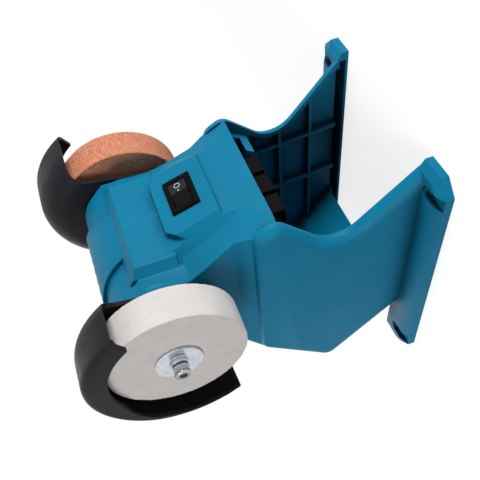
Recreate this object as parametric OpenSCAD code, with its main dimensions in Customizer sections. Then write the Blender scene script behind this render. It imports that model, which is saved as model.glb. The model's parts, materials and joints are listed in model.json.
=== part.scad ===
// Cordless mini bench grinder: a grinding wheel and a polishing wheel on one motor spindle,
// in a clamshell housing whose splayed legs straddle a slide-in battery bay.
// Every piece is drawn about the spindle's centre, with X along the spindle and the front
// at -Y, and is then set down on the feet.

/* [Wheels] */
// Outside diameter of both wheels
wheel_d = 75; // [66:1:80]
// Width of both wheels
wheel_t = 19.8; // [16:0.2:22]
// Bore of both wheels
wheel_bore = 10; // [9:0.5:12]
// Bevel on the rim of the grinding wheel
stone_bevel = 0.7; // [0.3:0.1:1.5]
// Rounding on the rim of the polishing wheel
felt_round = 0.8; // [0.5:0.1:2.5]

/* [Spindle] */
// Diameter of the motor shaft
shaft_d = 6; // [5:0.5:7]
// How far the shaft reaches into each hub
shaft_grip = 16; // [10:0.5:20]
// Diameter of the hub's neck
hub_neck_d = 14; // [12:0.5:16]
// Diameter of the hub's flange
flange_d = 25; // [20:0.5:28]
// Thickness of the hub's flange
flange_t = 3; // [2:0.25:4]
// Diameter of the clamping washer
washer_d = 25.4; // [18:0.2:30]
// Thickness of the clamping washer
washer_t = 1.5; // [1:0.1:2.5]
// Outside diameter of the lock washer
lock_d = 10; // [9:0.2:12]
// Thickness of the lock washer
lock_t = 1.6; // [1.2:0.1:2.2]
// Thread diameter of the spindle screw
spindle_screw_d = 5; // [4:0.5:6]
// Length of the spindle screw under its head
spindle_screw_l = 13; // [9:0.5:14]
// Diameter of the spindle screw's head
spindle_head_d = 8.5; // [7:0.25:10]
// Height of the spindle screw's head
spindle_head_h = 6; // [4:0.25:7]
// Width across flats of the hexagon socket
socket_w = 4; // [2.5:0.5:5]
// Diameter of the hub's set screw
set_screw_d = 4; // [3:0.5:4]

/* [Motor] */
// Diameter of the motor can
motor_d = 44; // [40:1:47]
// Length of the motor over its end plates
motor_l = 66; // [60:1:68]
// Wall of the motor can
can_wall = 1.5; // [1:0.1:2]
// Thickness of each end plate
end_plate_t = 3; // [2.5:0.25:4]
// Diameter of the bearing boss on each end plate
boss_d = 22; // [21:0.5:24]
// Height of the bearing boss
boss_h = 4.5; // [4:0.25:5]
// Outside diameter of the ball bearings
bearing_d = 19; // [17:0.5:19]
// Width of the ball bearings
bearing_w = 6; // [5:0.25:6]
// Diameter of the bearing balls
ball_d = 3.2; // [2.8:0.1:3.4]
// Metal left outside each bearing
bearing_cover = 1.3; // [1:0.1:2]
// Number of balls in a bearing
balls = 8; // [6:1:9]
// Diameter of the rotor
rotor_d = 31; // [28:0.5:32]
// Length of the rotor's iron core
rotor_l = 32; // [26:1:36]
// Number of rotor slots
rotor_slots = 10; // [5:1:12]
// How far the windings stand out of the core at each end
winding_h = 6; // [4:0.5:7]
// Diameter of the commutator
commutator_d = 12; // [11:0.5:14]
// Length of the commutator
commutator_l = 6; // [5:0.5:7]
// Thickness of the magnets
magnet_t = 4; // [3:0.25:4.25]

/* [Barrel] */
// Half width of the housing, from the parting line to the guard
body_half = 43; // [40:0.5:46]
// Diameter of the barrel at its ends
barrel_d = 53; // [51:0.5:56]
// Rounding of the barrel's ends
barrel_round = 4; // [2:0.5:5]
// Diameter of the raised band round the middle
band_d = 58; // [56:0.5:62]
// Half width of the raised band above the spindle
band_half = 26; // [22:0.5:28]
// How much the band widens towards the back, per mm
band_flare = 0.36; // [0.2:0.02:0.42]
// Width of a vent slot
vent_w = 3.6; // [2.5:0.1:4.5]
// Distance between vent slots
vent_pitch = 7; // [6:0.5:8]
// Vent slots in each half
vents = 3; // [2:1:3]
// Where the vents start, in degrees from the back
vent_from = 38; // [25:1:50]
// Where the vents end, in degrees from the back
vent_to = 104; // [80:1:112]

/* [Front] */
// How far the side shelves stand in front of the spindle
shelf_front = 28.5; // [27:0.5:31]
// Height of the shelves above the spindle
shelf_top = 7; // [4:0.5:10]
// How far below the spindle the shelves give way to the flanks
shelf_bend = 17.4; // [14:0.2:20]
// Half width of the shelves, where they turn back
shelf_half = 35; // [34.5:0.5:37]
// Turn of a flank towards the side, in degrees
flank_turn = 29.4; // [24:0.2:34]
// Upward tilt of a flank, in degrees
flank_tilt = 15.2; // [12:0.2:18]
// Half width of the lower front face where its corner facet starts
corner_half = 21.8; // [19:0.2:25]
// Depth of that point below the spindle
corner_drop = 50.9; // [48:0.1:54]
// Turn of the corner facet towards the side, in degrees
corner_turn = 18.2; // [14:0.2:22]
// Upward tilt of the corner facet, in degrees
corner_tilt = 24.9; // [22:0.1:28]
// Half width of the neck at its waist
waist_half = 38; // [37:0.25:40]
// Depth of the waist below the spindle
waist_drop = 43; // [40:0.5:46]
// How far the upper front face stands in front of the spindle
block_front = 33; // [32:0.5:35]
// Height of the front block above the spindle
block_top = 7.5; // [5:0.5:10]
// Half width of the upper front face
block_half = 30; // [28:0.5:30.5]
// Where the upper front face ends below the spindle
block_bend = 12; // [8:0.5:15]
// Where the sides of the front block end below the spindle
block_foot = 15; // [12.5:0.5:17]
// Turn of the walls beside the front block and the panel, in degrees
wall_turn = 45; // [40:1:46]
// Upward tilt of the walls beside the panel, in degrees
wall_tilt = 10; // [6:0.5:14]
// How far the apron's top stands in front of the spindle
apron_front = 45; // [43:0.5:47]
// How far the apron's top lies below the spindle
apron_drop = 42; // [38:0.5:46]

/* [Switch] */
// How far the switch panel's centre stands in front of the spindle
panel_front = 42.7; // [42:0.1:44]
// How far the switch panel's centre lies below the spindle
panel_drop = 27.9; // [26:0.1:30]
// Backward lean of the switch panel in degrees
panel_lean = 17.8; // [14:0.2:22]
// Half width of the raised switch panel at its middle
panel_half = 22; // [20:0.5:23]
// Length of the raised switch panel up its slope
panel_l = 31; // [28:0.5:34]
// Corner cut at the top of the panel
panel_corner = 4; // [3:0.5:6]
// Plastic left under the switch's bezel
panel_t = 2.6; // [2:0.1:3.5]
// Length of the switch's bezel
bezel_l = 22.8; // [21:0.2:24]
// Width of the switch's bezel
bezel_w = 16.2; // [15:0.2:17]
// Height of the switch's bezel
bezel_h = 2.2; // [1.5:0.1:3]
// Length of the switch body behind the bezel
switch_l = 18.8; // [18:0.1:19.6]
// Width of the switch body
switch_w = 12.8; // [12:0.1:13.5]
// Depth of the switch body
switch_depth = 14; // [12:0.5:15]
// Length of the rocker
rocker_l = 14.8; // [13:0.2:15]
// Width of the rocker
rocker_w = 9.8; // [9:0.1:10]
// Height of the rocker's ridge above its pivot
rocker_ridge = 5.3; // [4.5:0.1:6]
// Height of the rocker's ends above its pivot
rocker_end = 3.5; // [2.5:0.1:4]
// Depth of the rocker's pivot below the panel
pivot_depth = 1.5; // [1:0.1:2.5]
// Tilt of the rocker either side of level, in degrees
rocker_tilt = 9; // [6:0.5:11]

/* [Base] */
// Height of the spindle above the bench
axis_height = 145; // [136:1:155]
// Depth of the base's shoulder below the spindle
shoulder_drop = 52; // [49:0.5:55]
// How far the lip stands in front of the spindle
lip_front = 48.6; // [47:0.2:51]
// How far the lip lies below the spindle
lip_drop = 65.3; // [62:0.1:68]
// Height of the bay's ceiling above the lip
lip_h = 4; // [2:0.5:5]
// Thickness of the lip
lip_t = 3; // [2:0.25:4]
// Half width of the bay at the lip
bay_half = 40.5; // [40:0.25:42]
// Outward splay of the legs in degrees
leg_splay = 4.3; // [3:0.1:5]
// Depth of a leg from its ribs to its outer skin
leg_depth = 6.5; // [5.5:0.25:7.5]
// Thickness of a leg's outer skin
leg_skin = 2.2; // [1.8:0.1:2.6]
// Thickness of the rim round a leg
leg_rim = 3; // [2.5:0.1:4]
// Width of the soft rounding along a leg's edges
leg_round = 7; // [4:0.5:7.5]
// Sharp corner of the dip in the front edge, in front of the spindle
dip_front = 19.2; // [15:0.2:23]
// Sharp corner of the dip below the spindle
dip_drop = 96.2; // [92:0.2:100]
// Radius of the dip
dip_r = 17; // [12:0.5:20]
// Corner of the back bulge behind the spindle
bulge_back = 98.5; // [94:0.5:102]
// Corner of the back bulge below the spindle
bulge_drop = 96.5; // [92:0.5:101]
// Forward lean of the back above the bulge, in degrees
back_lean = 37; // [34:0.5:39]
// Where a leg's back edge meets the foot, behind the spindle
heel_back = 53.5; // [48:0.5:58]
// Radius of a leg's outer corners
leg_corner_r = 8; // [7.6:0.1:10]
// Drop of the crease on a leg's outer face below the spindle
crease_drop = 66.5; // [62:0.5:72]
// Thickness of the ribs inside the legs
rib_t = 1.8; // [1.4:0.1:2.4]
// Distance of the front upright rib in front of the spindle
rib_front = 13; // [8:0.5:18]
// Distance of the back upright rib behind the spindle
rib_back = 23.5; // [18:0.5:30]
// Depth of the upper level rib, as a share of the way from the rails to the feet
rib_upper = 0.37; // [0.3:0.01:0.45]
// Depth of the lower level rib, as a share of that way
rib_lower = 0.72; // [0.6:0.01:0.8]

/* [Feet] */
// Reach of the feet in front of the spindle
foot_front = 66; // [62:0.5:70]
// Reach of the feet behind the spindle
foot_back = 86; // [80:0.5:92]
// Width of a foot
foot_w = 22.5; // [20:0.5:26]
// Height of a foot
foot_h = 7.2; // [6.5:0.1:9]
// Height of a foot's upright edge
foot_edge = 4.2; // [3.8:0.1:5]
// Width of the bevel round a foot's top
foot_bevel = 5; // [3:0.25:6]
// Cut across a foot's outer corners
foot_corner = 8; // [5:0.5:10]
// Thickness of a foot's floor
foot_floor = 1.6; // [1.4:0.1:2.2]
// Thickness of a foot's top
foot_roof = 1.6; // [1.4:0.1:2]
// Thickness of a foot's outer wall
foot_side = 4; // [3.5:0.1:4.5]
// Width of a fixing pocket in a foot
pocket_w = 7.5; // [6.5:0.25:9]
// Distance of a fixing pocket from the end of its foot
pocket_inset = 12.8; // [12:0.2:16]
// Diameter of a fixing hole
foot_hole_d = 4.5; // [4:0.1:5.5]

/* [Guards] */
// Room between the wheel's rim and the guard
guard_gap = 9.8; // [8:0.2:11]
// Wall of the guard
guard_wall = 2.5; // [2:0.1:3]
// How far the guard reaches past the wheel's outer face
guard_reach = 5.9; // [4:0.1:7]
// Rounding between the guard's plate and its rim
guard_round = 15; // [10:0.5:16]
// Rounding between the guard's rim and its outer flap
flap_round = 4; // [3:0.25:4.5]
// Radius of the flap's free edge
flap_r = 42.6; // [41.5:0.1:43]
// How far the centre of the flap's free edge lies below the spindle
flap_drop = 5.6; // [5:0.1:6.5]
// Where the flap ends at the front, in degrees from the back
flap_to = 147.8; // [144:0.2:150]
// Height of the guard's front end above the spindle
guard_front_up = 26.5; // [24:0.5:28]
// How far the guard's plate stands in front of the spindle
plate_front = 28.5; // [26:0.5:30]
// How far the foot of the plate's front edge stands in front of the spindle
plate_heel = 19.5; // [17:0.5:22]
// Rounding of the plate's front corner
plate_sweep = 8; // [5:0.5:10]
// Depth of the guard's lower edge below the spindle
guard_drop = 27; // [24:0.5:30]
// Distance of the guard's screws from the spindle
guard_screw_at = 19; // [17.5:0.25:20.5]

/* [Battery bay] */
// Depth of the rails below the spindle
rail_drop = 78; // [75:0.5:82]
// Thickness of a rail's lip
rail_lip = 5; // [3:0.5:6]
// Distance between the rails' inner edges, half
rail_half = 26; // [25:0.5:29]
// Thickness of a rail's web
rail_web = 5; // [3:0.5:6]
// How far the right rail starts in front of the spindle
rail_front = 31; // [26:0.5:33]
// How far the left rail starts in front of the spindle
rail_front_left = 6; // [2:0.5:12]
// Backward rake of the rails' front ends, in degrees
rail_rake = 33; // [20:1:36]
// How far the rails end behind the spindle
rail_back = 58; // [45:1:62]
// Half width of the terminal block
socket_half = 23.5; // [20:0.5:24]
// Depth of the terminal block below the ceiling
socket_h = 16.5; // [12:0.5:16.5]
// How far the terminal block starts in front of the spindle
socket_front = 33; // [20:0.5:36]
// How far the terminal block ends behind the spindle
socket_back = 22; // [15:0.5:30]
// Distance of a contact blade from the middle
blade_at = 8; // [7:0.5:9]
// Thickness of the contact blades
blade_t = 0.8; // [0.6:0.1:1]

/* [Walls and fits] */
// Wall of the housing
wall = 2.8; // [2.2:0.1:3.2]
// Gap along the parting line
parting_gap = 0.15; // [0.1:0.05:0.3]
// Clearance where one fixed piece seats in another
seat_gap = 0.1; // [0.05:0.05:0.2]
// Radial clearance of a turning pin or ball
run_gap = 0.06; // [0.03:0.01:0.09]
// Clearance round pieces that turn past fixed ones
turn_gap = 0.9; // [0.6:0.1:1.5]
// Clearance round the motor
motor_gap = 0.4; // [0.2:0.1:0.6]
// Clearance at the ends of the motor
end_gap = 0.3; // [0.2:0.1:0.5]
// Step from the barrel's end to the housing's side
core_step = 0.6; // [0.4:0.1:1]
// Wall of a screw boss round the screw's head
boss_wall = 1.8; // [1.4:0.1:2.4]
// Diameter of the housing and guard screws
case_screw_d = 3; // [2.5:0.25:3.5]
// Diameter of their heads
case_head_d = 5.6; // [5:0.2:6]
// Diameter of the wires
wire_d = 2.4; // [1.6:0.2:2.8]

/* [Hidden] */
$fn = 72;
// Longer than any piece, for cuts that pass right through
far = 300;
// Overlap of shapes that are joined
joint = 0.01;
// Clearance round a screw in a plain hole
hole_gap = 0.2;

// Named places along the spindle, on the right-hand side
guard_x = body_half + seat_gap;
flange_x = guard_x + guard_wall + turn_gap;
wheel_x = flange_x + flange_t;
wheel_out_x = wheel_x + wheel_t;
lock_x = wheel_out_x + washer_t;
head_x = lock_x + lock_t;
guard_out_x = wheel_out_x + guard_reach;
plate_x = motor_l / 2;
boss_x = plate_x + boss_h;
hub_x = boss_x + turn_gap;
shaft_end_x = hub_x + shaft_grip;
bearing_x = boss_x - bearing_cover - bearing_w;
seat_x = boss_x + end_gap;

// Radii
wheel_r = wheel_d / 2;
guard_r = wheel_r + guard_gap + guard_wall;
barrel_r = barrel_d / 2;
band_r = band_d / 2;
motor_r = motor_d / 2;
motor_room_r = motor_r + motor_gap;
hub_room_r = hub_neck_d / 2 + turn_gap;
boss_r = case_head_d / 2 + boss_wall;

// Heights measured from the spindle
ground = -axis_height;
foot_top = ground + foot_h;
ceiling = -lip_drop + lip_h;
cavity_floor = ceiling + wall;
neck_top = -boss_d / 2 - wall;
splay = tan(leg_splay);
core_half = body_half - core_step;

function unit(v) = v / norm(v);
function leg_x(z) = bay_half + splay * (-lip_drop - z);
function back_y(z) = bulge_back - (z + bulge_drop) * tan(back_lean);
// Front of the neck's hollow and of the legs' tops, leaning forward towards the lip
slope_drop = 22;
front_slope = (lip_front - shelf_front) / (lip_drop - slope_drop);
function front_y(z) = -shelf_front + (z + slope_drop) * front_slope;
// The lower front face, between the apron's top and the lip
apron_slope = (lip_front - apron_front) / (lip_drop - apron_drop);
function apron_y(z) = -apron_front + (z + apron_drop) * apron_slope;

// One rounded corner of a closed outline, pulled in by inset along its normals
function corner_arc(before, at, after, radius, steps, inset) =
    let (
        d1 = unit(at - before),
        d2 = unit(after - at),
        bend = atan2(d1[0] * d2[1] - d1[1] * d2[0], d1 * d2),
        side = sign(bend),
        start = at - d1 * radius * tan(abs(bend) / 2),
        centre = start + side * radius * [-d1[1], d1[0]],
        first = atan2(-d1[0], d1[1])
    )
    [for (k = [0:steps]) centre + (side * radius - inset) *
        [cos(first + bend * k / steps), sin(first + bend * k / steps)]];
function corner_at(corners, i) =
    let (c = corners[(i + len(corners)) % len(corners)]) [c[0], c[1]];
// A polygon with sharp corners, pulled in by the same amount on every side
function shrunk(points, by) =
    let (n = len(points))
    [for (i = [0:n - 1])
        let (
            d1 = unit(points[i] - points[(i + n - 1) % n]),
            d2 = unit(points[(i + 1) % n] - points[i]),
            n1 = [d1[1], -d1[0]],
            n2 = [d2[1], -d2[0]]
        )
        points[i] - by * (n1 + n2) / (1 + n1 * n2)];

// Side outline of a leg as [y, z, corner radius, steps], going round from the toe.
// The two lowest corners lie inside the foot and stay sharp.
leg_bottom = foot_top - foot_roof / 2;
toe_slope = (foot_front - foot_bevel - dip_front) / (-dip_drop - foot_top);
heel_slope = (bulge_back - heel_back) / (-bulge_drop - foot_top);
toe_y = -foot_front + foot_bevel - (foot_top - leg_bottom) * toe_slope;
heel_y = heel_back - (foot_top - leg_bottom) * heel_slope;
leg_corners = [
    [toe_y, leg_bottom],
    [heel_y, leg_bottom],
    [bulge_back, -bulge_drop, leg_corner_r, 6],
    [back_y(-shoulder_drop), -shoulder_drop, leg_corner_r, 4],
    [front_y(-shoulder_drop), -shoulder_drop, leg_corner_r, 4],
    [-lip_front, -lip_drop, leg_corner_r, 5],
    [-dip_front, -dip_drop, dip_r, 10]
];
function leg_outline(inset = 0) = concat(
    [[toe_y + inset * norm([1, toe_slope]), leg_bottom],
        [heel_y - inset * norm([1, heel_slope]), leg_bottom]],
    [for (i = [2:len(leg_corners) - 1])
        each corner_arc(corner_at(leg_corners, i - 1), corner_at(leg_corners, i),
            corner_at(leg_corners, i + 1), leg_corners[i][2], leg_corners[i][3], inset)]);
leg_reach = max([for (p = leg_outline()) p[0]]);
axis_y = (foot_front - leg_reach) / 2;

// Side outline of the neck's hollow, before its wall is taken off
back_near = let (reach = back_y(0) * cos(back_lean)) reach * [cos(back_lean), sin(back_lean)];
brow_angle = 38;
brow_r = barrel_r - 0.8;
function core_points(bottom) = [
    [front_y(bottom), bottom],
    [back_y(bottom), bottom],
    back_near,
    brow_r * [-cos(brow_angle), sin(brow_angle)],
    [-shelf_front, shelf_top],
    [-shelf_front, -slope_drop]
];

// Screws that join the two halves, as [y, z]
screw_ring = barrel_r + case_head_d / 2 + turn_gap;
screw_angle = 52;
upper_screw_z = -slope_drop - 2;
lower_screw_z = cavity_floor + 2.8 * boss_r;
boss_bite = 0.4;
function back_screw(z) = [back_y(z) - wall / cos(back_lean) - boss_r + boss_bite, z];
case_screws = [
    screw_ring * [-cos(screw_angle), -sin(screw_angle)],
    back_screw(upper_screw_z),
    [front_y(lower_screw_z) + wall + boss_r, lower_screw_z],
    back_screw(lower_screw_z)
];
case_screw_l = 18;
case_head_h = 1.9;
case_seat_x = 9;
guard_screw_l = 8;
guard_screw_angles = [90, 210, 330];

// Hand-chosen routes of the wires, from end to end
supply_red_route = [[5, -22.4, -34.4], [5, -19, -35.5], [6, -12, -39], [8, -4, -46],
    [8, 0, -49.5], [8, 0, -52.8]];
motor_red_route = [[-5, -22.4, -34.4], [-5, -19, -35.5], [-10, -13, -37], [-20, -9, -37],
    [-28, -8, -35], [-31.5, -8, -31], [-31.5, -8, -27.2]];
supply_black_route = [[-8, 0, -52.8], [-8, 0, -49.5], [-11, 2, -45], [-19, 6, -42.5],
    [-27, 8, -39], [-31.5, 8, -33], [-31.5, 8, -27.2]];

// Placing and drawing helpers
module standing() {
    translate([0, axis_y, axis_height]) children();
}

module both_sides() {
    children();
    mirror([1, 0, 0]) children();
}

module x_cylinder(r, from, to) {
    translate([from, 0, 0]) rotate([0, 90, 0]) cylinder(r = r, h = to - from);
}

module x_ring(r_out, r_in, from, to) {
    difference() {
        x_cylinder(r_out, from, to);
        x_cylinder(r_in, from - 1, to + 1);
    }
}

module x_revolve() {
    rotate([0, 90, 0]) rotate_extrude() children();
}

// Draws a [y, z] outline and pulls it along X
module side_extrude(from, to) {
    translate([from, 0, 0]) rotate([90, 0, 90]) linear_extrude(to - from) children();
}

// Draws an [x, z] outline and pulls it along Y
module front_extrude(from, to) {
    translate([0, to, 0]) rotate([90, 0, 0]) linear_extrude(to - from) children();
}

module block(low, high) {
    translate(low) cube(high - low);
}

module on_panel() {
    translate([0, -panel_front, -panel_drop]) rotate([90 - panel_lean, 0, 0]) children();
}

// A leg's own frame: X = 0 on the plane of its ribs
module on_leg() {
    translate([bay_half, 0, -lip_drop]) rotate([0, -leg_splay, 0]) children();
}

// Housing: the base

// Sections of the leg's outer skin, as [distance from the ribs, inset of the outline]
leg_straight = 1;
round_steps = 5;
leg_sections = concat([[0, 0]], [for (k = [0:round_steps])
    let (a = 90 * k / round_steps)
    [leg_straight + (leg_depth - leg_straight) * sin(a), leg_round * (1 - cos(a))]]);

module leg_envelope() {
    rings = [for (s = leg_sections) leg_outline(s[1])];
    count = len(rings[0]);
    points = [for (j = [0:len(rings) - 1]) for (p = rings[j])
        [leg_x(p[1]) + leg_sections[j][0], p[0], p[1]]];
    sides = [for (j = [0:len(rings) - 2]) for (i = [0:count - 1])
        let (a = j * count + i, b = j * count + (i + 1) % count)
        each [[a, a + count, b + count], [a, b + count, b]]];
    // Each flat side is a fan round a middle point from which its whole outline can be seen
    middles = [for (s = [leg_sections[0], leg_sections[len(rings) - 1]])
        [leg_x(-dip_drop) + s[0], (bulge_back - dip_front) / 4, -dip_drop]];
    first = len(points);
    top = (len(rings) - 1) * count;
    inner = [for (i = [0:count - 1]) [first, i, (i + 1) % count]];
    outer = [for (i = [0:count - 1]) [first + 1, top + (i + 1) % count, top + i]];
    polyhedron(concat(points, middles), concat(inner, sides, outer));
}

// The open cells between a leg's ribs, which run on into the foot
module leg_cells() {
    rib_zs = -rail_drop * [1, 1] + (foot_top + rail_drop) * [rib_upper, rib_lower];
    cells_top = -rail_drop - leg_skin;
    depth = (leg_depth - leg_skin) * cos(leg_splay);
    foot_cell = [toe_y + 2 * leg_rim, heel_y - 2 * leg_rim];
    intersection() {
        side_extrude(0, far)
            difference() {
                union() {
                    polygon(leg_outline(leg_rim));
                    translate([foot_cell[0], ground + foot_floor])
                        square([foot_cell[1] - foot_cell[0], foot_h]);
                }
                for (y = [-rib_front, rib_back]) translate([y - rib_t / 2, -far]) square([rib_t, far]);
                for (z = rib_zs) translate([-far, z - rib_t / 2]) square([2 * far, rib_t]);
                translate([-far, cells_top]) square([2 * far, far]);
            }
        on_leg() block([-far, -far, -far], [depth, far, far]);
    }
}

// The flat above the crease leans in a little more than the leg
module crease_cut() {
    crease_tilt = 4.4;
    crease_lean = 5;
    translate([leg_x(-crease_drop) + leg_depth, 0, -crease_drop])
        rotate([-crease_tilt, 0, 0])
            rotate([0, -leg_splay - crease_lean, 0])
                block([0, -far, -far], [far, far, far]);
}

module back_wall() {
    intersection() {
        side_extrude(0, far)
            difference() {
                polygon(leg_outline());
                polygon(leg_outline(wall));
            }
        block([0, bulge_back / 4, -far], [far, far, ceiling]);
        on_leg() block([-far, -far, -far], [leg_straight / 2, far, far]);
    }
}

foot_in = leg_x(ground);
pocket_gap = 0.4;
hole_out = 2.2;
foot_out = foot_in + foot_w;
pocket_in = leg_x(foot_top) + leg_depth + pocket_gap;
pocket_ys = [-foot_front + pocket_inset, foot_back - pocket_inset];
foot_hole_x = pocket_in + pocket_w / 2 + hole_out;

function foot_plan(inset) =
    let (cut = foot_corner - inset * (2 - sqrt(2)))
    [[foot_in, -foot_front + inset], [foot_out - inset - cut, -foot_front + inset],
        [foot_out - inset, -foot_front + inset + cut], [foot_out - inset, foot_back - inset - cut],
        [foot_out - inset - cut, foot_back - inset], [foot_in, foot_back - inset]];

module foot_block() {
    hull() {
        translate([0, 0, ground]) linear_extrude(foot_edge) polygon(foot_plan(0));
        translate([0, 0, foot_top - joint]) linear_extrude(joint) polygon(foot_plan(foot_bevel));
    }
}

// A pocket's outline, widened by grow, from its round inner end to past the foot's edge
module pocket_shape(grow) {
    r = pocket_w / 2 + grow;
    translate([pocket_in + pocket_w / 2, 0]) {
        circle(r);
        translate([0, -r]) square([foot_w, 2 * r]);
    }
}

module foot_hollow() {
    pocket_wall = 1.8;
    end_wall = foot_side + foot_roof;
    difference() {
        block([0, -foot_front + end_wall, ground + foot_floor],
            [foot_out - foot_side, foot_back - end_wall, foot_top - foot_roof]);
        for (y = pocket_ys)
            translate([0, y, ground]) linear_extrude(foot_h) pocket_shape(pocket_wall);
    }
}

module foot_pockets() {
    for (y = pocket_ys) {
        translate([0, y, ground + foot_edge]) linear_extrude(foot_h) pocket_shape(0);
        translate([foot_hole_x, y, ground - 1]) cylinder(d = foot_hole_d, h = foot_h);
    }
}

module leg_and_foot() {
    difference() {
        union() {
            difference() {
                leg_envelope();
                crease_cut();
            }
            foot_block();
        }
        leg_cells();
        foot_hollow();
        foot_pockets();
    }
}

// A rail for the battery, its front end raked back towards its foot
module rail(front) {
    outer = leg_x(-rail_drop) + leg_straight / 2;
    top = ceiling + 1;
    rake = (top + rail_drop) * tan(rail_rake);
    intersection() {
        front_extrude(-front - rake, rail_back)
            polygon([[rail_half, -rail_drop], [outer, -rail_drop], [outer, top],
                [outer - rail_web, top], [outer - rail_web, -rail_drop + rail_lip],
                [rail_half, -rail_drop + rail_lip]]);
        side_extrude(0, far)
            polygon([[-front, -rail_drop], [rail_back, -rail_drop], [rail_back, top],
                [-front - rake, top]]);
    }
}

// Housing: the upper body

module barrel_half() {
    x_cylinder(barrel_r, 0, body_half - barrel_round);
    x_cylinder(barrel_r - barrel_round, 0, body_half);
    x_revolve() translate([barrel_r - barrel_round, body_half - barrel_round])
        circle(barrel_round);
    intersection() {
        x_cylinder(band_r, 0, body_half);
        translate([0, 0, -band_r]) linear_extrude(2 * band_r)
            polygon([[0, -band_r], [band_half - band_flare * band_r, -band_r],
                [band_half + band_flare * band_r, band_r], [0, band_r]]);
    }
}

// Everything behind a plane through a point, turned to the side and tilted up
module behind(point, turn, tilt) {
    translate(point) rotate([0, 0, turn]) rotate([-tilt, 0, 0])
        block([-far, 0, -far], [far, far, far]);
}

module between_panel_walls() {
    behind([panel_half, -panel_front, -panel_drop], wall_turn, wall_tilt);
}

// The front block above the switch, between slanted side walls
module front_block() {
    spread = (block_front - shelf_front) * tan(wall_turn);
    intersection() {
        side_extrude(0, body_half)
            polygon([[-block_front, -block_foot], [0, -block_foot], [0, barrel_r * 0.8],
                [-band_r * cos(22), band_r * sin(22)], [-block_front, block_top]]);
        translate([0, 0, -far]) linear_extrude(2 * far)
            polygon([[0, -block_front], [block_half, -block_front],
                [block_half + spread, -shelf_front], [block_half + spread, 0], [0, 0]]);
    }
}

// The apron from the front block down to the lip, with its flanks and corner facets
module apron() {
    intersection() {
        side_extrude(0, core_half)
            polygon([[-lip_front, -lip_drop], [0, -lip_drop], [0, -block_bend],
                [-block_front, -block_bend], [-apron_front, -apron_drop]]);
        union() {
            between_panel_walls();
            intersection() {
                union() {
                    behind([shelf_half, -shelf_front, -shelf_bend], flank_turn, flank_tilt);
                    behind([corner_half, apron_y(-corner_drop), -corner_drop], corner_turn, corner_tilt);
                }
                block([0, -far, -far], [far, far, -shelf_bend]);
            }
        }
    }
}

// The raised panel that carries the switch, with its upper corners cut
module switch_panel() {
    under = 12;
    wide = panel_half + under;
    corner = panel_half - panel_corner;
    intersection() {
        on_panel() translate([0, 0, -under]) linear_extrude(under)
            polygon([[0, -panel_l / 2], [wide, -panel_l / 2],
                [wide, panel_l / 2 - wide + corner], [corner, panel_l / 2], [0, panel_l / 2]]);
        between_panel_walls();
    }
}

// The neck's outside: shelves that turn back at the sides above a waist
module core() {
    turned = (core_half - shelf_half) * tan(flank_turn);
    intersection() {
        union() {
            intersection() {
                side_extrude(0, core_half)
                    polygon([[-shelf_front, -lip_drop], [back_y(-lip_drop), -lip_drop], back_near,
                        brow_r * [-cos(brow_angle), sin(brow_angle)], [-shelf_front, shelf_top]]);
                translate([0, 0, -far]) linear_extrude(2 * far)
                    polygon([[0, -shelf_front], [shelf_half, -shelf_front],
                        [core_half, -shelf_front + turned], [core_half, far], [0, far]]);
            }
            apron();
        }
        front_extrude(-far, far)
            polygon([[0, -far], [core_half, -far], [core_half, -shoulder_drop - leg_rim],
                [waist_half, -waist_drop], [core_half, -shelf_bend], [core_half, far], [0, far]]);
    }
}

module vent_cuts() {
    inner_r = motor_r - 2;
    outer_r = band_r + 8;
    middle = (vent_from + vent_to) / 2;
    for (i = [0:vents - 1])
        side_extrude((i + 0.5) * vent_pitch - vent_w / 2, (i + 0.5) * vent_pitch + vent_w / 2)
            polygon([for (p = [[inner_r, vent_from], [outer_r, vent_from], [outer_r * 1.2, middle],
                [outer_r, vent_to], [inner_r, vent_to]]) p[0] * [cos(p[1]), sin(p[1])]]);
}

module motor_room() {
    x_cylinder(motor_room_r, -1, plate_x + 2);
    x_cylinder(boss_d / 2 + seat_gap, 0, seat_x);
    x_cylinder(hub_room_r, 0, body_half + 5);
}

// The hollow neck between the motor and the bay, with room for the switch
module neck_room() {
    terminal_room = 12;
    wrist = [bezel_l / 2 + 1.6, bezel_w / 2 + 1.2];
    mouth = [switch_l / 2 + end_gap, switch_w / 2 + end_gap];
    side_extrude(-1, waist_half - wall)
        intersection() {
            polygon(shrunk(core_points(cavity_floor - wall), wall));
            translate([-far, -far]) square([2 * far, far + neck_top]);
        }
    side_extrude(-1, panel_half - 2 * wall)
        polygon([[-block_front + wall, neck_top], [-block_front + wall, -block_bend - 1],
            [-apron_front + wall + 0.4, -apron_drop], [front_y(cavity_floor) + 1, cavity_floor],
            [0, cavity_floor], [0, neck_top]]);
    on_panel() {
        block([-1, -wrist[1], -switch_depth - terminal_room], [wrist[0], wrist[1], -panel_t]);
        block([-1, -mouth[1], -switch_depth], [mouth[0], mouth[1], 1]);
    }
}

module bay_recess() {
    block([-1, -lip_front + lip_t, -far],
        [bay_half - wall, back_y(ceiling) - 2 * wall, ceiling]);
}

module contact_slots() {
    room = [blade_t, blade_tab] / 2 + motor_gap * [1, 1];
    for (x = [-blade_at, blade_at])
        block([x - room[0], -room[1], ceiling - 1], [x + room[0], room[1], cavity_floor + 1]);
}

module screw_bosses() {
    for (p = case_screws)
        translate([0, p[0], p[1]]) x_cylinder(boss_r, 0, waist_half - 1);
}

module guard_pilots() {
    for (a = guard_screw_angles)
        rotate([a, 0, 0]) translate([0, guard_screw_at, 0])
            x_cylinder(case_screw_d / 2 + seat_gap / 2,
                body_half - guard_screw_l + guard_wall - 1, body_half + 1);
}

module upper_shell() {
    difference() {
        union() {
            core();
            barrel_half();
            front_block();
            switch_panel();
        }
        motor_room();
        neck_room();
        bay_recess();
        vent_cuts();
        guard_pilots();
    }
}

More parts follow.
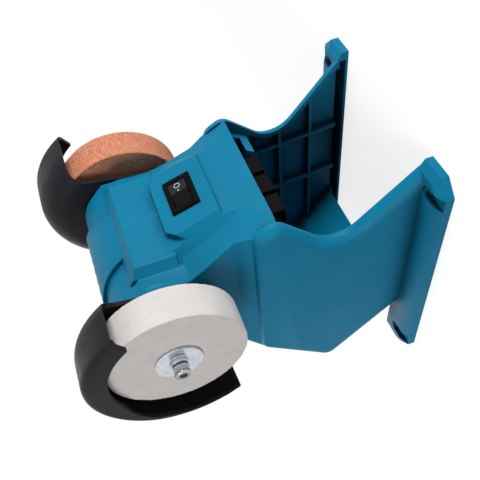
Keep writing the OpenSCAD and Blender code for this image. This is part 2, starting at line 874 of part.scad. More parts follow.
// The half on the right of the parting line, without its screw holes
module half_shell(rail_start) {
    difference() {
        union() {
            upper_shell();
            difference() {
                screw_bosses();
                x_cylinder(motor_room_r, -1, plate_x + 2);
            }
            rail(rail_start);
            back_wall();
            leg_and_foot();
        }
        contact_slots();
        block([-far, -far, -far], [parting_gap / 2, far, far]);
    }
}

module housing_left() {
    color([0.13, 0.53, 0.67])
        mirror([1, 0, 0])
            difference() {
                half_shell(rail_front_left);
                for (p = case_screws)
                    translate([0, p[0], p[1]])
                        x_cylinder(case_screw_d / 2 + seat_gap / 2, -1,
                            case_screw_l - case_seat_x + 2);
            }
}

module housing_right() {
    color([0.13, 0.53, 0.67])
        difference() {
            half_shell(rail_front);
            for (p = case_screws)
                translate([0, p[0], p[1]]) {
                    x_cylinder(case_screw_d / 2 + hole_gap, -1, case_seat_x + 1);
                    x_cylinder(case_head_d / 2 + end_gap, case_seat_x, far);
                }
        }
}

// A pan-head screw along -X, its head's underside at the origin
module case_screw(length) {
    cross_depth = 1.1;
    cross_half = [0.4, 1.6];
    x_cylinder(case_screw_d / 2, -length, joint);
    difference() {
        x_cylinder(case_head_d / 2, 0, case_head_h);
        for (a = [0, 90])
            rotate([a, 0, 0])
                block([case_head_h - cross_depth, -cross_half[0], -cross_half[1]],
                    [far, cross_half[0], cross_half[1]]);
    }
}

module housing_screws() {
    color([0.35, 0.35, 0.37])
        for (p = case_screws)
            translate([case_seat_x + seat_gap / 2, p[0], p[1]]) case_screw(case_screw_l);
}

// Guards

module bent_wall(r) {
    difference() {
        circle(r);
        circle(r - guard_wall);
    }
}

// Half section of a guard: its plate, a wide bend, its rim, a tight bend and the outer flap
lip_r = guard_r - flap_round;
rim_end_x = guard_out_x - flap_round;
module guard_section() {
    flat = guard_r - guard_round;
    bore_r = hub_room_r + end_gap;
    rim_start_x = guard_x + guard_round;
    translate([bore_r, guard_x]) square([flat - bore_r, guard_wall]);
    intersection() {
        translate([flat, rim_start_x]) bent_wall(guard_round);
        translate([flat, guard_x]) square(guard_round);
    }
    translate([guard_r - guard_wall, rim_start_x]) square([guard_wall, rim_end_x - rim_start_x]);
    intersection() {
        translate([lip_r, rim_end_x]) bent_wall(flap_round);
        translate([lip_r, rim_end_x]) square(flap_round);
    }
    translate([wheel_r / 2, guard_out_x - guard_wall])
        square([lip_r - wheel_r / 2, guard_wall]);
}

// What is cut away in front of and under the wheel, as [y, z]
guard_cut = concat(
    [[-far, guard_front_up], [-plate_front - plate_sweep, guard_front_up]],
    [for (a = [75:-15:0]) [-plate_front - plate_sweep * (1 - cos(a)),
        guard_front_up - plate_sweep * (1 - sin(a))]],
    [[-plate_heel, -guard_drop], [far, -guard_drop], [far, -far], [-far, -far]]);

// The same for the flap, whose front edge points at the spindle
flap_cut = [[0, 0], 2 * guard_r * [cos(flap_to), sin(flap_to)], [-far, -far], [far, -far],
    [far, -guard_drop], [0, -guard_drop]];

module wheel_guard() {
    difference() {
        x_revolve() guard_section();
        side_extrude(guard_x - 5, rim_end_x) polygon(guard_cut);
        side_extrude(rim_end_x, guard_out_x + 5) polygon(flap_cut);
        translate([0, 0, -flap_drop]) x_cylinder(flap_r, rim_end_x, guard_out_x + 5);
        for (a = guard_screw_angles)
            rotate([a, 0, 0]) translate([0, guard_screw_at, 0])
                x_cylinder(case_screw_d / 2 + hole_gap, guard_x - 1, guard_x + guard_wall + 1);
    }
}

module wheel_guard_right() {
    color([0.2, 0.2, 0.22]) wheel_guard();
}

module wheel_guard_left() {
    color([0.2, 0.2, 0.22]) mirror([1, 0, 0]) wheel_guard();
}

module guard_screws() {
    color([0.35, 0.35, 0.37])
        both_sides()
            for (a = guard_screw_angles)
                rotate([a, 0, 0])
                    translate([guard_x + guard_wall + seat_gap / 2, guard_screw_at, 0])
                        case_screw(guard_screw_l);
}

// Motor

can_in_r = motor_r - can_wall;
drum_r = can_in_r - seat_gap;
drum_x = rotor_l / 2 + winding_h + end_gap;
brush_w = 4.2;
brush_x = drum_x + commutator_l / 2 + 0.4;
spring_l = 5.2;
brush_out = drum_r - spring_l;
spigot_l = 3;
spigot_t = 1.5;
tab_sink = 7.8;
tab_y = 8;
tab_w = 4.8;
tab_t = 0.8;
tab_end = -motor_r - 5;
tab_x = -plate_x + end_plate_t / 2;

module motor_can() {
    color([0.55, 0.56, 0.58])
        x_ring(motor_r, can_in_r, -plate_x + end_plate_t + seat_gap,
            plate_x - end_plate_t - seat_gap);
}

// An end plate with its bearing boss, on the right
module end_plate() {
    difference() {
        union() {
            x_cylinder(motor_r, plate_x - end_plate_t, plate_x);
            x_cylinder(boss_d / 2, plate_x - joint, boss_x);
            x_ring(drum_r, drum_r - spigot_t, plate_x - end_plate_t - spigot_l,
                plate_x - end_plate_t + joint);
        }
        x_cylinder(bearing_d / 2 + seat_gap / 2, 0, bearing_x + bearing_w + seat_gap);
        x_cylinder(shaft_d / 2 + turn_gap, 0, boss_x + 1);
    }
}

module motor_end_bell() {
    color([0.6, 0.61, 0.63]) end_plate();
}

module motor_brush_cap() {
    brush_room = brush_w / 2 + seat_gap;
    tab_room = [tab_t, tab_w] / 2 + seat_gap * [1, 1];
    color([0.12, 0.12, 0.13])
        difference() {
            union() {
                mirror([1, 0, 0]) end_plate();
                x_ring(drum_r, commutator_d / 2 + 6, -plate_x + end_plate_t - joint, -drum_x);
            }
            for (s = [0, 180])
                rotate([s, 0, 0])
                    block([-brush_x - brush_room, 0, -brush_room],
                        [-brush_x + brush_room, motor_r, brush_room]);
            for (s = [-1, 1])
                block([tab_x - tab_room[0], s * tab_y - tab_room[1], -motor_r - 1],
                    [tab_x + tab_room[0], s * tab_y + tab_room[1], -motor_r + tab_sink + seat_gap]);
        }
}

module motor_terminals() {
    color([0.8, 0.7, 0.4])
        for (s = [-1, 1])
            block([tab_x - tab_t / 2, s * tab_y - tab_w / 2, tab_end],
                [tab_x + tab_t / 2, s * tab_y + tab_w / 2, -motor_r + tab_sink]);
}

module motor_magnets() {
    magnet_r = can_in_r - seat_gap;
    gap = 6;
    overhang = 4;
    color([0.25, 0.25, 0.27])
        difference() {
            x_ring(magnet_r, magnet_r - magnet_t, -rotor_l / 2, rotor_l / 2 + overhang);
            block([-far, -gap, -far], [far, gap, far]);
        }
}

module carbon_brushes() {
    color([0.15, 0.15, 0.15])
        for (s = [0, 180])
            rotate([s, 0, 0])
                block([-brush_x - brush_w / 2, commutator_d / 2 + run_gap, -brush_w / 2],
                    [-brush_x + brush_w / 2, brush_out, brush_w / 2]);
}

module brush_springs() {
    color([0.75, 0.76, 0.78])
        for (s = [0, 180])
            rotate([s, 0, 0])
                translate([-brush_x, brush_out + seat_gap / 2, 0]) rotate([-90, 0, 0])
                    difference() {
                        cylinder(d = brush_w - end_gap, h = spring_l - seat_gap);
                        translate([0, 0, -1]) cylinder(d = brush_w / 2, h = far);
                    }
}

// Bearings

race_r = (shaft_d / 2 + bearing_d / 2) / 2;
groove_r = ball_d / 2 + run_gap;
race_gap = 1.05;

module at_bearings() {
    both_sides() translate([bearing_x, 0, 0]) children();
}

module bearing_groove() {
    x_revolve() translate([race_r, bearing_w / 2]) circle(groove_r);
}

module bearing_outer_rings() {
    color([0.75, 0.76, 0.78])
        at_bearings()
            difference() {
                x_ring(bearing_d / 2, race_r + race_gap, 0, bearing_w);
                bearing_groove();
            }
}

module bearing_inner_rings() {
    color([0.75, 0.76, 0.78])
        at_bearings()
            difference() {
                x_ring(race_r - race_gap, shaft_d / 2 + seat_gap / 2, 0, bearing_w);
                bearing_groove();
            }
}

module bearing_balls() {
    color([0.85, 0.86, 0.88])
        at_bearings()
            for (i = [0:balls - 1])
                rotate([i * 360 / balls, 0, 0])
                    translate([bearing_w / 2, race_r, 0]) sphere(d = ball_d);
}

// Spindle

module spindle_shaft() {
    color([0.7, 0.71, 0.73]) x_cylinder(shaft_d / 2, -shaft_end_x, shaft_end_x);
}

module rotor_core() {
    slot_w = 3;
    slot_in = rotor_d / 2 - 7;
    color([0.45, 0.45, 0.48])
        difference() {
            x_ring(rotor_d / 2, shaft_d / 2 + seat_gap / 2, -rotor_l / 2, rotor_l / 2);
            for (i = [0:rotor_slots - 1])
                rotate([i * 360 / rotor_slots, 0, 0])
                    block([-rotor_l, slot_in, -slot_w / 2], [rotor_l, rotor_d, slot_w / 2]);
        }
}

module rotor_windings() {
    r_out = rotor_d / 2 - 1.5;
    r_in = shaft_d / 2 + turn_gap;
    from = rotor_l / 2 + seat_gap;
    round = 2.5;
    color([0.72, 0.42, 0.2])
        both_sides() {
            x_ring(r_out, r_in, from, from + winding_h - round);
            x_ring(r_out - round, r_in, from, from + winding_h - seat_gap);
            x_revolve() translate([r_out - round, from + winding_h - round - seat_gap])
                circle(round);
        }
}

module commutator() {
    color([0.75, 0.45, 0.22])
        x_ring(commutator_d / 2, shaft_d / 2 + seat_gap / 2, -drum_x - commutator_l, -drum_x);
}

set_inset = 1.3;
set_x = hub_x + set_screw_d / 2 + set_inset;

module wheel_hub() {
    journal = wheel_bore / 2 - seat_gap / 2;
    difference() {
        union() {
            x_cylinder(hub_neck_d / 2, hub_x, flange_x + joint);
            x_cylinder(flange_d / 2, flange_x, wheel_x - seat_gap / 2);
            x_cylinder(journal, flange_x, wheel_out_x - 2 * end_gap);
        }
        x_cylinder(shaft_d / 2 + seat_gap / 2, hub_x - 1, shaft_end_x + seat_gap);
        x_cylinder(spindle_screw_d / 2 + seat_gap / 2, head_x - spindle_screw_l - end_gap,
            wheel_out_x + 1);
        translate([set_x, 0, 0]) cylinder(d = set_screw_d + seat_gap, h = hub_neck_d);
    }
}

module wheel_hub_right() {
    color([0.65, 0.66, 0.68]) wheel_hub();
}

module wheel_hub_left() {
    color([0.65, 0.66, 0.68]) mirror([1, 0, 0]) wheel_hub();
}

module hub_set_screws() {
    key_w = set_screw_d / 2;
    key_from = 1.4;
    from = shaft_d / 2 + seat_gap / 2;
    color([0.2, 0.2, 0.22])
        both_sides()
            translate([set_x, 0, from])
                difference() {
                    cylinder(d = set_screw_d, h = hub_neck_d / 2 - from - end_gap);
                    translate([0, 0, key_from])
                        cylinder(d = key_w * 2 / sqrt(3), h = hub_neck_d, $fn = 6);
                }
}

module grinding_wheel() {
    color([0.72, 0.43, 0.31])
        x_revolve()
            polygon([[wheel_bore / 2, wheel_x], [wheel_r - stone_bevel, wheel_x],
                [wheel_r, wheel_x + stone_bevel], [wheel_r, wheel_out_x - stone_bevel],
                [wheel_r - stone_bevel, wheel_out_x], [wheel_bore / 2, wheel_out_x]]);
}

module polishing_wheel() {
    flat = wheel_r - felt_round;
    color([0.9, 0.89, 0.87])
        mirror([1, 0, 0])
            x_revolve() {
                translate([wheel_bore / 2, wheel_x]) square([flat - wheel_bore / 2, wheel_t]);
                translate([wheel_r / 2, wheel_x + felt_round])
                    square([wheel_r / 2, wheel_t - 2 * felt_round]);
                for (x = [wheel_x + felt_round, wheel_out_x - felt_round])
                    translate([flat, x]) circle(felt_round);
            }
}

module clamp_washers() {
    color([0.78, 0.79, 0.82])
        both_sides()
            x_ring(washer_d / 2, spindle_screw_d / 2 + hole_gap, wheel_out_x + seat_gap / 2, lock_x);
}

// A split ring, cut through on the slant
module lock_washers() {
    split_w = 0.8;
    split_slant = 25;
    color([0.7, 0.71, 0.74])
        both_sides()
            difference() {
                x_ring(lock_d / 2, spindle_screw_d / 2 + hole_gap, lock_x + seat_gap / 2, head_x);
                translate([(lock_x + head_x) / 2, 0, 0]) rotate([0, 0, split_slant])
                    block([-lock_t, -split_w / 2, 0], [lock_t, split_w / 2, lock_d]);
            }
}

module spindle_screws() {
    head_bevel = 0.6;
    socket_depth = spindle_head_h * 0.55;
    from = head_x + seat_gap / 2;
    color([0.66, 0.67, 0.7])
        both_sides()
            difference() {
                union() {
                    x_cylinder(spindle_screw_d / 2, head_x - spindle_screw_l, from + joint);
                    x_revolve()
                        polygon([[0, from], [spindle_head_d / 2, from],
                            [spindle_head_d / 2, from + spindle_head_h - head_bevel],
                            [spindle_head_d / 2 - head_bevel, from + spindle_head_h],
                            [0, from + spindle_head_h]]);
                }
                translate([from + spindle_head_h - socket_depth, 0, 0]) rotate([0, 90, 0])
                    cylinder(d = socket_w * 2 / sqrt(3), h = spindle_head_h, $fn = 6);
            }
}

// Switch

rocker_room = 1.8;
well_depth = 5.5;
pivot_d = 2;
pivot_l = 1;
window_l = rocker_l + rocker_room;
window_w = rocker_w + 2 * end_gap;
terminal_x = 5;
terminal_l = 7;
terminal_sink = 3.8;

module switch_body() {
    lip = 0.8;
    color([0.08, 0.08, 0.09])
        on_panel()
            difference() {
                union() {
                    translate([0, 0, seat_gap]) linear_extrude(bezel_h - lip)
                        square([bezel_l, bezel_w], center = true);
                    translate([0, 0, bezel_h - lip]) linear_extrude(lip)
                        square([bezel_l - lip, bezel_w - lip], center = true);
                    translate([0, 0, -switch_depth]) linear_extrude(switch_depth + bezel_h / 2)
                        square([switch_l, switch_w], center = true);
                }
                translate([0, 0, -pivot_depth - well_depth]) linear_extrude(far)
                    square([window_l, window_w], center = true);
                translate([0, 0, -pivot_depth]) rotate([90, 0, 0])
                    cylinder(d = pivot_d + 2 * run_gap, h = window_w + 2 * pivot_l, center = true);
                for (x = [-terminal_x, terminal_x])
                    block([x - tab_t / 2 - seat_gap, -tab_w / 2 - seat_gap, -switch_depth - 1],
                        [x + tab_t / 2 + seat_gap, tab_w / 2 + seat_gap,
                            -switch_depth + terminal_sink + seat_gap]);
            }
}

module switch_terminals() {
    color([0.8, 0.7, 0.4])
        on_panel()
            for (x = [-terminal_x, terminal_x])
                block([x - tab_t / 2, -tab_w / 2, -switch_depth - terminal_l],
                    [x + tab_t / 2, tab_w / 2, -switch_depth + terminal_sink]);
}

module switch_rocker() {
    half = rocker_l / 2;
    heel = [2.4, 2.5];
    color([0.07, 0.07, 0.08])
        on_panel() translate([0, 0, -pivot_depth]) rotate([0, -rocker_tilt, 0]) {
            rotate([90, 0, 0]) linear_extrude(rocker_w, center = true)
                polygon([[-half, rocker_end], [-half, 0], [-half + heel[0], -heel[1]],
                    [half - heel[0], -heel[1]], [half, 0], [half, rocker_end], [0, rocker_ridge]]);
            rotate([90, 0, 0]) cylinder(d = pivot_d, h = rocker_w + 2 * pivot_l, center = true);
        }
}

// Battery bay

blade_tab = 5;
blade_top = cavity_floor + 5.5;
socket_top = ceiling - seat_gap;

module battery_terminal_block() {
    flange = 4;
    shoulder = 1;
    slot = 2.6;
    color([0.06, 0.06, 0.07])
        difference() {
            union() {
                block([-socket_half, -socket_front, socket_top - flange],
                    [socket_half, socket_back, socket_top]);
                block([-socket_half + shoulder, -socket_front + shoulder, socket_top - socket_h],
                    [socket_half - shoulder, socket_back - shoulder, socket_top - flange + joint]);
            }
            for (x = [-blade_at, blade_at]) {
                block([x - slot / 2, -socket_front - 1, socket_top - socket_h - 1],
                    [x + slot / 2, blade_tab, socket_top - flange - 1]);
                block([x - blade_t / 2 - seat_gap, -blade_tab / 2 - seat_gap, socket_top - socket_h],
                    [x + blade_t / 2 + seat_gap, blade_tab / 2 + seat_gap, socket_top + 1]);
            }
        }
}

module battery_contacts() {
    tip = socket_top - socket_h + 1;
    color([0.8, 0.7, 0.4])
        for (x = [-blade_at, blade_at]) {
            block([x - blade_t / 2, -blade_tab / 2, tip], [x + blade_t / 2, blade_tab / 2, blade_top]);
            block([x - blade_t / 2, -socket_front + 6, tip],
                [x + blade_t / 2, -blade_tab / 2 + joint, socket_top - 6]);
        }
}

// Wires

function smooth_point(a, b, c, d, t) =
    0.5 * (2 * b + (c - a) * t + (2 * a - 5 * b + 4 * c - d) * t * t
        + (3 * b - a - 3 * c + d) * t * t * t);
function smooth(route, steps) =
    let (last = len(route) - 1)
    concat([for (i = [0:last - 1]) for (k = [0:steps - 1])
        smooth_point(route[max(i - 1, 0)], route[i], route[i + 1], route[min(i + 2, last)], k / steps)],
        [route[last]]);

// A round wire along a route, with a ring of sides at each point
module wire(route) {
    sides = 8;
    across = [0.3, 0.9, -0.3];
    path = smooth(route, 3);
    last = len(path) - 1;
    points = [for (i = [0:last])
        let (
            along = unit(path[min(i + 1, last)] - path[max(i - 1, 0)]),
            u = unit(cross(along, across)),
            v = cross(along, u)
        )
        for (k = [0:sides - 1])
            path[i] + wire_d / 2 * (cos(k * 360 / sides) * u + sin(k * 360 / sides) * v)];
    skin = [for (i = [0:last - 1]) for (k = [0:sides - 1])
        let (a = i * sides + k, b = i * sides + (k + 1) % sides)
        each [[a, a + sides, b + sides], [a, b + sides, b]]];
    ends = [[for (k = [0:sides - 1]) k], [for (k = [sides - 1:-1:0]) last * sides + k]];
    polyhedron(points, concat(skin, ends));
}

module supply_wire_red() {
    color([0.8, 0.1, 0.08]) wire(supply_red_route);
}

module supply_wire_black() {
    color([0.05, 0.05, 0.05]) wire(supply_black_route);
}

module motor_wire_red() {
    color([0.8, 0.1, 0.08]) wire(motor_red_route);
}

standing() housing_left();
standing() housing_right();
standing() housing_screws();
standing() wheel_guard_left();
standing() wheel_guard_right();
standing() guard_screws();
standing() motor_can();
standing() motor_end_bell();
standing() motor_brush_cap();
standing() motor_terminals();
standing() motor_magnets();
standing() carbon_brushes();
standing() brush_springs();
standing() bearing_outer_rings();
standing() bearing_balls();
standing() bearing_inner_rings();
standing() spindle_shaft();
standing() rotor_core();
standing() rotor_windings();
standing() commutator();
standing() wheel_hub_left();
standing() wheel_hub_right();
standing() hub_set_screws();
standing() polishing_wheel();
standing() grinding_wheel();
standing() clamp_washers();
standing() lock_washers();
standing() spindle_screws();
standing() switch_body();
standing() switch_terminals();
standing() switch_rocker();
standing() battery_terminal_block();
standing() battery_contacts();
standing() supply_wire_red();
standing() supply_wire_black();
standing() motor_wire_red();
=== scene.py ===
"""Looks of a cordless mini bench grinder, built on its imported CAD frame. Metres, +Z up, front at -Y."""
import json
from math import atan2, cos, degrees, pi, radians, sin

import bmesh
import bpy
from mathutils import Matrix, Vector, noise


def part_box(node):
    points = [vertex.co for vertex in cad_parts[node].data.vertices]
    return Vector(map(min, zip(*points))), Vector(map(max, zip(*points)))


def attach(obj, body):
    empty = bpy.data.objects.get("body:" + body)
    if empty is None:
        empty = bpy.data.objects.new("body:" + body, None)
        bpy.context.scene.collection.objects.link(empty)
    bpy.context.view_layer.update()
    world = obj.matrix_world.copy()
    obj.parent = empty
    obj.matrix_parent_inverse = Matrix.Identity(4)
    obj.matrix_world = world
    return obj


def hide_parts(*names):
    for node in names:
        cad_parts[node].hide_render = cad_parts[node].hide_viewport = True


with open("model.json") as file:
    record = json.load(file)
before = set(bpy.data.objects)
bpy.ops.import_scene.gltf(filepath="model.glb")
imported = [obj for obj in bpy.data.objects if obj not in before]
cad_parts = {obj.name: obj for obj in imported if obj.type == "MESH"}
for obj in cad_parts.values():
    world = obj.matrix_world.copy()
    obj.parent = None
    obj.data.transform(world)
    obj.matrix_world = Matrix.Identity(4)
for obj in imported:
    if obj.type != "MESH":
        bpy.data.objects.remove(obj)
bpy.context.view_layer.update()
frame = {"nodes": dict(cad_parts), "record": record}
scene = bpy.context.scene
MM = 0.001

# Taken from the frame: the spindle's axis, the rocker's pins, and each node's material slot and body
RECORD = frame["record"]
JOINTS = {joint["name"]: joint for joint in RECORD["behaviour"]["joints"]}
SPINDLE = Vector(JOINTS["spindle_spin"]["pos_m"])
PINS = Vector(JOINTS["switch_rock"]["pos_m"])
PIN_AXIS = Vector(JOINTS["switch_rock"]["axis"])
SLOTS = {part["node"]: part["material_slot"] for part in RECORD["subparts"]}
BODIES = {node: body for body, nodes in RECORD["behaviour"]["bodies"].items() for node in nodes}

# Housing: how near x = 0 its parting plane lies, the share of that gap that stays, and where the head
# starts above the legs, which is lower over the shelf in the middle
PARTING = 0.1 * MM
PARTING_KEPT = 0.2
HEAD_FROM = 92 * MM
SHELF_FROM = 86 * MM
SHELF_HALF = 36 * MM

# Pinholes at the outer corners of the feet: least distances from the middle, and their heights
CORNER_X = 63 * MM
CORNER_Y = 68.2 * MM
CORNER_Z = (4.5 * MM, 5.7 * MM)
FOOT_MIDDLE_Y = -4.854 * MM

# Guard lip: its outer radius, where it starts along x, the share of its width that stays at the back end,
# the angles about the spindle over which it widens again, and the angle of its front end
GUARD_RIM = 49.8 * MM
GUARD_WALL = 71.1 * MM
LIP_KEPT = 0.4
LIP_WIDENS = (25, 60)
LIP_FRONT = -90

# Rounding of hard edges: the angle that counts as hard, the share of a short edge that may be taken, and
# the angle below which faces are shaded as one
HARD_EDGE = radians(28)
EDGE_SHARE = 0.4
EDGE_SEGMENTS = 2
SHADED_AS_ONE = radians(13)
FLAT = radians(0.6)
MERGE = 0.001 * MM

# Wheels: bore, spacing of the points on the section, sides of a turn, and the fractal of the pits
WHEEL_BORE = 10 * MM
WHEEL_STEP = 1 * MM
WHEEL_SIDES = 300
WHEEL_CREASE = radians(50)
CORNER_STEPS = 4
PIT_FRACTAL = (1.0, 2.0, 3)

# Rocker: height of its ridge over the pins, its tilt at rest, the fall of its facets, the border of its
# half that is painted lighter as if lit, and the relief of the print
ROCKER_RIDGE = 5.3 * MM
ROCKER_TILT = radians(9)
ROCKER_FALL = radians(13.7)
PAINTED_LIT_BORDER = (-1.1 * MM, -0.7 * MM)
MARK_LIFT = 0.03 * MM
MARK_SINK = 0.05 * MM
MARK_SIDES = 40

# Stage: light from all round, and a floor whose glow grows into the white background
AMBIENT = 0.08
FLOOR_HALF = 2.5
FLOOR_FADE = (0.16, 0.6)
FLOOR_GLOW = 0.76
WHITE = (1, 1, 1, 1)

# Lamps: place, size and power, all aimed at the middle of the object
LAMP_AIM = Vector((0, 0, 0.1))
LAMPS = {
    "front_softbox": ((0.12, -1.0, 0.14), 0.36, 9.3),
    "side_fill": ((-0.95, 0.05, 0.48), 0.5, 4.6),
    "top_softbox": ((0.2, 0.1, 1.0), 0.9, 1.8),
    "back_fill": ((0.3, 0.95, 0.45), 0.7, 2.2),
}

# Camera: the object lies on its back in the photograph, so the camera is rolled
CAMERA_PLACE = Vector((-0.23085, -0.30254, 0.14768))
CAMERA_AIM = Vector((0.605, 0.7809, -0.1557))
CAMERA_ROLL = radians(-107.88)
CAMERA_LENS = 47.88
CAMERA_SENSOR = 36
CAMERA_NEAR = 0.01


# Materials

def lin(r, g, b):
    """A screen colour from 0 to 255 as linear light."""
    def one(v):
        v /= 255
        return v / 12.92 if v <= 0.04045 else ((v + 0.055) / 1.055) ** 2.4
    return (one(r), one(g), one(b), 1)


def darker(colour, share):
    return [v * share for v in colour[:3]] + [1]


class Finish:
    """A procedural material made on one Principled shader, in object space."""

    def __init__(self, name, sockets):
        self.material = bpy.data.materials.new(name)
        self.material.use_nodes = True
        self.tree = self.material.node_tree
        self.shader = self.tree.nodes["Principled BSDF"]
        self.place = self.add("ShaderNodeTexCoord").outputs["Object"]
        for socket, value in sockets.items():
            self.shader.inputs[socket].default_value = value

    def add(self, kind, **values):
        node = self.tree.nodes.new(kind)
        for key, value in values.items():
            setattr(node, key, value)
        return node

    def feed(self, socket, value):
        if isinstance(value, bpy.types.NodeSocket):
            self.tree.links.new(value, socket)
        else:
            socket.default_value = value

    def stretched(self, x, y, z):
        node = self.add("ShaderNodeMapping")
        self.feed(node.inputs["Vector"], self.place)
        node.inputs["Scale"].default_value = (x, y, z)
        return node.outputs["Vector"]

    def noise(self, size, detail=3, rough=0.5, place=None):
        """Noise from 0 to 1 whose grains are about size metres across."""
        node = self.add("ShaderNodeTexNoise")
        self.feed(node.inputs["Vector"], place or self.place)
        node.inputs["Scale"].default_value = 1 / size
        node.inputs["Detail"].default_value = detail
        node.inputs["Roughness"].default_value = rough
        return node.outputs["Fac"]

    def cells(self, size, output="Distance"):
        node = self.add("ShaderNodeTexVoronoi")
        self.feed(node.inputs["Vector"], self.place)
        node.inputs["Scale"].default_value = 1 / size
        return node.outputs[output]

    def span(self, value, low, high, to_low=0.0, to_high=1.0):
        """value, from low to high, mapped to a clamped new range."""
        node = self.add("ShaderNodeMapRange")
        for socket, given in zip(node.inputs, (value, low, high, to_low, to_high)):
            self.feed(socket, given)
        return node.outputs["Result"]

    def math(self, operation, a, b):
        node = self.add("ShaderNodeMath", operation=operation)
        self.feed(node.inputs[0], a)
        self.feed(node.inputs[1], b)
        return node.outputs[0]

    def mix(self, share, a, b):
        node = self.add("ShaderNodeMix", data_type="RGBA")
        self.feed(node.inputs["Factor"], share)
        self.feed(node.inputs[6], a)
        self.feed(node.inputs[7], b)
        return node.outputs[2]

    def edges(self, width):
        """1 on hard edges, fading to 0 about width metres away from them."""
        rounded = self.add("ShaderNodeBevel", samples=6)
        rounded.inputs["Radius"].default_value = width
        agree = self.add("ShaderNodeVectorMath", operation="DOT_PRODUCT")
        self.feed(agree.inputs[0], rounded.outputs["Normal"])
        self.feed(agree.inputs[1], self.add("ShaderNodeNewGeometry").outputs["Normal"])
        return self.span(agree.outputs["Value"], 0.98, 0.8)

    def recess(self, reach):
        """1 deep in corners and cells, and 0 on surfaces that are open for reach metres."""
        node = self.add("ShaderNodeAmbientOcclusion", samples=8, only_local=True)
        node.inputs["Distance"].default_value = reach
        return self.span(node.outputs["AO"], 0.9, 0.45)

    def colour(self, value):
        self.feed(self.shader.inputs["Base Color"], value)

    def roughness(self, value):
        self.feed(self.shader.inputs["Roughness"], value)

    def bump(self, height, depth):
        node = self.add("ShaderNodeBump")
        node.inputs["Distance"].default_value = depth
        self.feed(node.inputs["Height"], height)
        self.feed(self.shader.inputs["Normal"], node.outputs["Normal"])


def moulded(name, base, pale, dark, roughness, gloss=0.35, painted_lit_half=0):
    """Moulded plastic with fine grain, cloudy tone, pale edges that are partly wear and partly painted
    highlight, and painted shade in its recesses.

    The last argument, where more than 0, is painted light: the half towards +X is brought that much
    nearer to the pale tone, as if lit.
    """
    finish = Finish(name, {"Specular IOR Level": gloss})
    cloud = finish.span(finish.noise(38 * MM, 4), 0.3, 0.7)
    tone = finish.mix(cloud, dark, base)
    # Painted light: the half towards +X is made paler, as if lit.
    if painted_lit_half:
        side = finish.add("ShaderNodeSeparateXYZ")
        finish.feed(side.inputs[0], finish.place)
        tone = finish.mix(finish.span(side.outputs["X"], *PAINTED_LIT_BORDER, 0, painted_lit_half), tone, pale)
    streaks = finish.noise(7 * MM, 5, 0.7, finish.stretched(1, 0.4, 2.2))
    scuffs = finish.span(streaks, 0.66, 0.82, 0, 0.3)
    # Pale edges: partly wear, partly a painted highlight along hard edges, broken up by the streaks.
    pale_share = finish.math("MULTIPLY", finish.edges(0.5 * MM), finish.span(streaks, 0.3, 0.6, 0.3, 0.8))
    tone = finish.mix(finish.math("MAXIMUM", scuffs, pale_share), tone, pale)
    # Painted shade: the colour is darkened towards near black wherever ambient occlusion finds corners,
    # cells and recesses.
    painted_shade = finish.math("MULTIPLY", finish.recess(18 * MM), 0.9)
    finish.colour(finish.mix(painted_shade, tone, darker(dark, 0.12)))
    grain = finish.noise(0.3 * MM, 2, 0.6)
    finish.roughness(finish.span(finish.noise(6 * MM, 4), 0.3, 0.7, roughness - 0.05, roughness + 0.05))
    finish.bump(grain, 0.015 * MM)
    return finish.material


def metal(name, base, roughness, stretch=(1, 1, 1), size=0.5 * MM):
    """Bare or plated metal with fine tool marks, which stretch can draw out along one direction."""
    finish = Finish(name, {"Metallic": 1.0})
    marks = finish.noise(size, 3, 0.6, finish.stretched(*stretch))
    cloud = finish.noise(4 * MM, 3)
    finish.colour(finish.mix(finish.span(cloud, 0.3, 0.7), darker(base, 0.8), base))
    finish.roughness(finish.span(marks, 0.3, 0.7, roughness - 0.07, roughness + 0.07))
    finish.bump(marks, 0.006 * MM)
    return finish.material


def chrome(name):
    """Plated screw steel, with dark and bright rings of colour along the spindle's direction."""
    finish = Finish(name, {"Metallic": 1.0})
    rings = finish.span(finish.noise(1.3 * MM, 2, 0.5, finish.stretched(1, 0.02, 0.02)), 0.4, 0.6)
    finish.colour(finish.mix(rings, lin(74, 78, 78), lin(204, 206, 208)))
    marks = finish.noise(0.4 * MM, 3, 0.6)
    finish.roughness(finish.span(marks, 0.3, 0.7, 0.08, 0.22))
    finish.bump(marks, 0.012 * MM)
    return finish.material


def stone(name):
    """Bonded abrasive: packed grains of brown oxide, with paler and darker ones among them."""
    finish = Finish(name, {"Roughness": 0.92, "Specular IOR Level": 0.06})
    grain = 0.55 * MM
    pick = finish.add("ShaderNodeSeparateColor")
    finish.feed(pick.inputs[0], finish.cells(grain, "Color"))
    body = finish.mix(pick.outputs[0], lin(200, 120, 90), lin(240, 164, 130))
    cloud = finish.span(finish.noise(1.6 * MM, 4, 0.65), 0.35, 0.65, 0, 0.55)
    body = finish.mix(cloud, body, lin(230, 148, 114))
    pale = finish.span(pick.outputs[1], 0.9, 0.94, 0, 0.6)
    body = finish.mix(pale, body, lin(248, 204, 178))
    dark = finish.span(pick.outputs[2], 0.9, 0.94, 0, 0.7)
    finish.colour(finish.mix(dark, body, lin(150, 88, 66)))
    rough = finish.math("ADD", finish.cells(grain), finish.noise(0.3 * MM, 3))
    finish.bump(rough, 0.2 * MM)
    return finish.material


